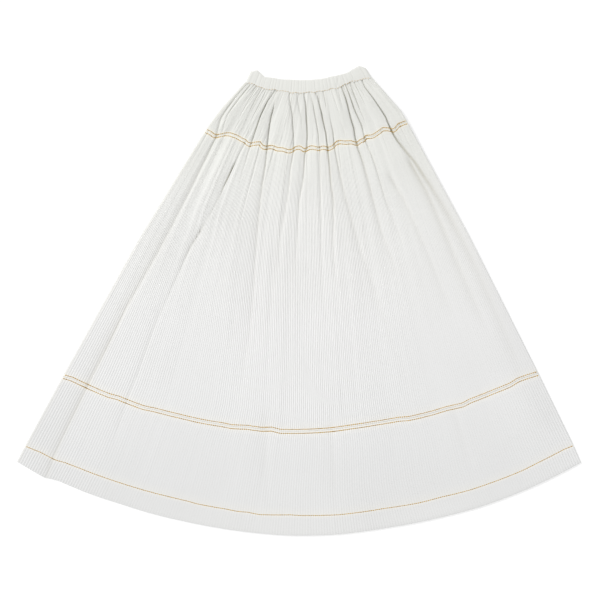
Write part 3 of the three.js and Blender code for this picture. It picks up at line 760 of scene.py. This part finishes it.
def thread_material():
    m = bpy.data.materials.new("ochre_thread")
    m.use_nodes = True
    nt = m.node_tree
    n, l = nt.nodes, nt.links
    bsdf = n["Principled BSDF"]
    bsdf.inputs["Roughness"].default_value = 0.6
    bsdf.inputs["Sheen Weight"].default_value = 0.1
    co = n.new("ShaderNodeTexCoord")
    noise = n.new("ShaderNodeTexNoise")
    noise.inputs["Scale"].default_value = 160.0
    l.new(co.outputs["Object"], noise.inputs["Vector"])
    cr = ramp(n, [(0.32, (0.46, 0.262, 0.028)), (0.5, (0.60, 0.362, 0.044)), (0.68, (0.73, 0.462, 0.08))])
    l.new(noise.outputs["Fac"], cr.inputs["Fac"])
    # A stitch's ends go down into its holes, and painted shadow makes them brown there.
    ends = n.new("ShaderNodeAttribute")
    ends.attribute_name = "painted_shade"
    shade = ramp(n, [(0.0, (1, 1, 1)), (0.4, (.84, .78, .66)), (1.0, (.17, .13, .14))])
    l.new(ends.outputs["Fac"], shade.inputs["Fac"])
    held = n.new("ShaderNodeMix")
    held.data_type = "RGBA"
    held.blend_type = "MULTIPLY"
    held.inputs[0].default_value = 1.0
    l.new(cr.outputs["Color"], held.inputs[6])
    l.new(shade.outputs["Color"], held.inputs[7])
    l.new(held.outputs[2], bsdf.inputs["Base Color"])
    twist = n.new("ShaderNodeTexWave")
    twist.bands_direction = "DIAGONAL"
    twist.inputs["Scale"].default_value = 900.0
    l.new(co.outputs["Object"], twist.inputs["Vector"])
    bump = n.new("ShaderNodeBump")
    bump.inputs["Strength"].default_value = 0.3
    bump.inputs["Distance"].default_value = 0.0001
    l.new(twist.outputs["Fac"], bump.inputs["Height"])
    l.new(bump.outputs["Normal"], bsdf.inputs["Normal"])
    return m


CLOTH = cloth_material("pleated_cloth")
BAND_CLOTH = cloth_material("band_cloth")
THREAD = thread_material()

# -------------------------------------------------------------------- tiers
COLS = PLEATS * PER_PLEAT
upper_rows = [-0.10] + with_seams(spaced(-0.02, 1, 24), -0.02, 1)
middle_rows = with_seams(list(1 + np.cumsum([0] + [0.0075 * 1.028 ** k for k in range(49)]) /
                              sum(0.0075 * 1.028 ** k for k in range(49))), 1, 2)
middle_rows = [mm_to_v(1, -2.6)] + middle_rows
lower_rows = [mm_to_v(2, -2.6)] + with_seams(spaced(2, 3, 17), 2, 3)

upper_front = tier("upper_tier_front_cloth", upper_rows, COLS, front_top, -SHEET, CLOTH)
middle_front = tier("middle_tier_front_cloth", middle_rows, COLS, front_top, -SHEET, CLOTH)
lower_front = hemmed("lower_tier_front_cloth", lower_rows, COLS, front_top, 1, CLOTH)

BCOLS = PLEATS * 2
back_upper_rows = with_seams(spaced(0, 1, 16), 0, 1)
back_middle_rows = with_seams(spaced(1, 2, 30, 1.25), 1, 2)
back_lower_rows = [mm_to_v(2, -2.6)] + with_seams(spaced(2, 3, 12), 2, 3)
back_upper_rows = [-0.10] + back_upper_rows
back_middle_rows = [mm_to_v(1, -2.6)] + back_middle_rows


upper_back = tier("upper_tier_back_cloth", back_upper_rows, BCOLS, back_low, SHEET, CLOTH)
middle_back = tier("middle_tier_back_cloth", back_middle_rows, BCOLS, back_low, SHEET, CLOTH)
lower_back = hemmed("lower_tier_back_cloth", back_lower_rows, BCOLS, back_low, -1, CLOTH)


# ---------------------------------------------------------------- waistband
def band():
    """The casing, one ring of gathered cloth pressed flat over its elastic."""
    inner_r = BAND_BORE / 2
    outer_r = inner_r + BAND_WALL
    mid = outer_r
    inset = outer_r / width_at(-0.5)
    n_front, n_turn = 420, 9
    stations = [(k / n_front, 0.0) for k in range(n_front + 1)]
    stations += [(1.0, math.pi * k / n_turn) for k in range(1, n_turn)]
    stations += [(1 - k / n_front, math.pi) for k in range(n_front + 1)]
    stations += [(0.0, math.pi * (1 + k / n_turn)) for k in range(1, n_turn)]
    st = np.array(stations)
    u = inset + (1 - 2 * inset) * st[:, 0]
    along = np.cumsum(np.r_[0, np.hypot(np.diff(u) * 260, np.diff(st[:, 1]) * 2.4)])
    rng = np.random.default_rng(77)
    total = along[-1] + 1e-9
    gathers = np.zeros_like(along)
    for k in range(128):
        c = (k + rng.uniform(0.0, 1.0)) / 128 * total
        gathers -= rng.uniform(0.15, 1.0) ** 1.3 * np.exp(-np.abs((along - c) / rng.uniform(0.45, 1.5)) ** 1.4)
    gathers = np.clip(gathers, -1.3, 0)
    # outline of the section: share of the height, share of the wall, how far gathers cut in
    shape = [(0.00, 0.50, .15), (0.012, 0.72, .3), (0.045, 0.90, .5), (0.10, 0.98, .75), (0.2, 1.0, 1), (0.35, 1.02, 1),
             (0.5, 1.02, 1), (0.65, 1.0, 1), (0.76, .97, .95), (0.84, 0.90, .6), (0.89, 0.87, .45), (0.94, 0.92, .7), (0.985, 0.86, .6), (1.0, 0.7, .4),
             (1.0, 0.3, 0), (0.97, 0.06, 0), (0.8, 0.0, 0), (0.5, 0.0, 0), (0.2, 0.0, 0), (0.05, 0.1, 0), (0.012, 0.28, 0)]
    rows = []
    dip = 0.35 * np.interp(along, np.linspace(0, total, 60), rng.uniform(-1, 1, 60))
    for h, w, cut in shape:
        v = -1 + h
        x, y = point(u, v)
        xa, ya = point(u + .002, v)
        xb, yb = point(u - .002, v)
        ln = np.hypot(xa - xb, ya - yb)
        tx, ty = (xa - xb) / ln, (ya - yb) / ln
        away = inner_r + BAND_WALL * w + gathers * 0.95 * cut
        # one crease runs aslant, where the band was folded before it was laid
        away = away - 1.1 * min(1, cut * 1.5) * np.exp(-((st[:, 0] - (.775 - .055 * h)) * 260 / 1.3) ** 2) * (np.cos(st[:, 1]) > .5)
        wide = inner_r + BAND_WALL * (w if w < .5 else 1 - .35 * (1 - w)) + gathers * 0.5 * cut
        side = np.sin(st[:, 1]) * wide
        dx, dy = down(u, v)
        edge = drift(st[:, 0], v, 0.0) + (dip * (1 - h / 0.1) if h < 0.1 else 0.0)
        edge = edge + 4.6 * max(0.0, 1 - h / .4) * np.sin(st[:, 1]) * (st[:, 0] > .999)
        rows.append(np.stack([x + tx * side + dx * edge, y + ty * side + dy * edge,
                              mid + np.cos(st[:, 1]) * away], axis=1))
    grid = np.stack(rows, axis=1)                # station, shape point
    m, n, _ = grid.shape
    idx = np.arange(m * n).reshape(m, n)
    a, b = idx, np.roll(idx, -1, axis=0)
    a2, b2 = np.roll(a, -1, axis=1), np.roll(b, -1, axis=1)
    faces = np.stack([a.ravel(), a2.ravel(), b2.ravel(), b.ravel()], axis=1)
    return to_object("waistband_cloth", grid.reshape(-1, 3), faces, BAND_CLOTH)


waistband = band()


# ----------------------------------------------------------------- stitches
RINGS = (0.0, 0.16, 0.36, 0.64, 0.84, 1.0)
RING_SHADE = (1.0, 0.75, 0.0, 0.0, 0.75, 1.0)      # painted shadow on each ring, strongest at the stitch's ends that go into a hole


def capsule(rings=RINGS, sides=6):
    """Unit stitch along x: position, across, up for each ring point."""
    pts, tri = [], []
    for t in rings:
        s = math.sin(math.pi * min(max(t, 0.04), 0.96)) ** 0.35
        lift = -0.55 * (abs(t - 0.5) * 2) ** 3
        for k in range(sides):
            a = 2 * math.pi * k / sides
            pts.append((t - 0.5, 0.5 * s * math.cos(a), 0.5 * s * math.sin(a) + lift))
    n = len(rings)
    for r in range(n - 1):
        for k in range(sides):
            j = (k + 1) % sides
            p, q = r * sides, (r + 1) * sides
            tri += [(p + k, q + j, q + k), (p + k, p + j, q + j)]
    for k in range(1, sides - 1):
        tri.append((0, k + 1, k))
        e = (n - 1) * sides
        tri.append((e, e + k, e + k + 1))
    return np.array(pts), np.array(tri)


CAP_P, CAP_T = capsule()


def stitch_line(curve, up, wide=THREAD_W, gap=STITCH_GAP):
    """Stitches of one row along curve (points in mm). up: +1 on the front."""
    seg = np.diff(curve, axis=0)
    s = np.r_[0, np.cumsum(np.linalg.norm(seg, axis=1))]
    count = int(s[-1] // (STITCH + gap))
    pitch = s[-1] / count
    verts, tris = [], []
    for k in range(count):
        length = STITCH * RNG.uniform(0.9, 1.08)
        c = (k + 0.5) * pitch
        a = np.array([np.interp(c - length / 2, s, curve[:, i]) for i in range(3)])
        b = np.array([np.interp(c + length / 2, s, curve[:, i]) for i in range(3)])
        d = b - a
        L = np.linalg.norm(d)
        d = d / L
        side = np.cross([0, 0, up], d)
        side /= np.linalg.norm(side)
        top = np.cross(d, side)
        mid = (a + b) / 2 + side * RNG.uniform(-0.12, 0.12)
        p = mid + CAP_P[:, :1] * d * L + CAP_P[:, 1:2] * side * wide + CAP_P[:, 2:3] * top * THREAD_H
        tris.append(CAP_T + len(verts) * len(CAP_P))
        verts.append(p)
    return np.concatenate(verts), np.concatenate(tris)


def joined(name, parts, hole_shade=1.0):
    verts, faces, at = [], [], 0
    for v, f in parts:
        verts.append(v)
        faces.append(f + at)
        at += len(v)
    ob = to_object(name, np.concatenate(verts), np.concatenate(faces), THREAD)
    # painted shadow at the ends of each stitch, by how far down its hole each ring lies
    one = hole_shade * np.repeat(RING_SHADE, len(CAP_P) // len(RINGS))
    shaded(ob, np.tile(one, at // len(CAP_P)))
    return ob


def front_curve(v, inset=2.5):
    w = width_at(v)
    u = np.linspace(inset / w, 1 - inset / w, int(w / 1.1))
    x, y, z = front_top(u, v)
    _, depth = pleat(u, v, None)
    # Thread bridges the grooves, so it lies on the crests of the pleats.
    k = max(1, int(round(w / PLEATS / 1.1)))
    crest = z.copy()
    for s in range(-k, k + 1):
        crest = np.maximum(crest, np.roll(z, s) - 0.05 * abs(s))
    return np.stack([x, y, crest * 0.7 + z * 0.3 + 0.12], axis=1)


def back_curve(v, inset=2.5):
    w = width_at(v)
    u = np.linspace(inset / w, 1 - inset / w, int(w / 1.1))
    x, y, z = back_low(u, v)
    return np.stack([x, y, z + 0.22], axis=1)


front_stitches = joined("front_stitches", [stitch_line(front_curve(v), 1, THREAD_W_FINE if v > 2.5 else THREAD_W) for v in ROW_VS])
back_stitches = joined("back_stitches", [stitch_line(back_curve(v), -1, THREAD_W_FINE if v > 2.5 else THREAD_W) for v in ROW_VS])


def band_curve(front=True, h=0.955):
    w = width_at(-0.1)
    u = np.linspace(0.02, 0.98, int(w / 1.1))
    x, y = point(u, -1 + h)
    dx, dy = down(u, -1 + h)
    move = drift(u, -1 + h, 0.0)
    x, y = x + dx * move, y + dy * move
    inner_r = BAND_BORE / 2
    if front:
        z = np.full_like(u, inner_r + BAND_WALL + inner_r + BAND_WALL * 0.90 + .22)
        z += 0.12 * np.interp(u, np.linspace(0, 1, 70), RNG.uniform(-1, 1, 70))
    else:
        z = np.full_like(u, BAND_WALL * 0.10 + 0.1)
    return np.stack([x, y, z], axis=1)


band_stitches = joined("band_stitches", [stitch_line(band_curve(True), 1, .66, 1.6), stitch_line(band_curve(False), -1, .66, 1.6)], .5)

# ------------------------------------------------- the cut of what shows
def cut(low_v, high_v, ease):
    """A tier's cut, opened by ease: width and length in metres, and flat area."""
    vs = np.linspace(high_v, low_v, 30)
    length = row_mm(high_v, low_v) * MM
    widths = np.array([width_at(v) for v in vs]) * MM * ease
    area = float(widths.mean()) * length
    return (float(widths.max()), length), area


# ---------------------------------------------------------- what replaces what
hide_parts("waistband")
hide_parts("upper_tier_front")
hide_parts("middle_tier_front")
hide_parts("lower_tier_front")
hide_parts("upper_tier_back")
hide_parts("middle_tier_back")
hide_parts("lower_tier_back")

# ------------------------------------------------------------------ the stage
bpy.ops.mesh.primitive_plane_add(size=30, location=(0, 0, -0.0002))
floor = bpy.context.object
floor.name = "floor"
fm = bpy.data.materials.new("floor")
fm.use_nodes = True
fb = fm.node_tree.nodes["Principled BSDF"]
fb.inputs["Base Color"].default_value = (0.56, 0.56, 0.56, 1)
fb.inputs["Emission Color"].default_value = (1, 1, 1, 1)
fb.inputs["Emission Strength"].default_value = 0.50
fb.inputs["Roughness"].default_value = 0.9
fb.inputs["Specular IOR Level"].default_value = 0.1
floor.data.materials.append(fm)

scene = bpy.context.scene
world = bpy.data.worlds.new("studio")
scene.world = world
world.use_nodes = True
bg = world.node_tree.nodes["Background"]
bg.inputs["Color"].default_value = (1, 1, 1, 1)
bg.inputs["Strength"].default_value = 0.70


def sun(name, azimuth, elevation, power, soft):
    d = bpy.data.lights.new(name, "SUN")
    d.energy = power
    d.angle = math.radians(soft)
    o = bpy.data.objects.new(name, d)
    scene.collection.objects.link(o)
    o.rotation_euler = (0, math.radians(90 - elevation), math.radians(azimuth))
    return o


sun("key", 145, 45, 1.50, 22)

cam_data = bpy.data.cameras.new("camera")
cam_data.lens = 100
cam_data.sensor_width = 36
cam = bpy.data.objects.new("camera", cam_data)
scene.collection.objects.link(cam)
cam.location = (0.0016, 0.0034, 1.23 * 100 / 36 + 0.006)
cam.rotation_euler = (0, 0, 0)
scene.camera = cam
scene.view_settings.view_transform = "Standard"
scene.view_settings.look = "None"

# ------------------------------------------------------- cloth area of each piece, printed
AREAS = {}
for ob in (waistband, upper_front, middle_front, lower_front, upper_back, middle_back, lower_back):
    AREAS[ob.name] = (round(sum(p.area for p in ob.data.polygons) / 2, 4), len(ob.data.polygons))
print("AREAS", AREAS)
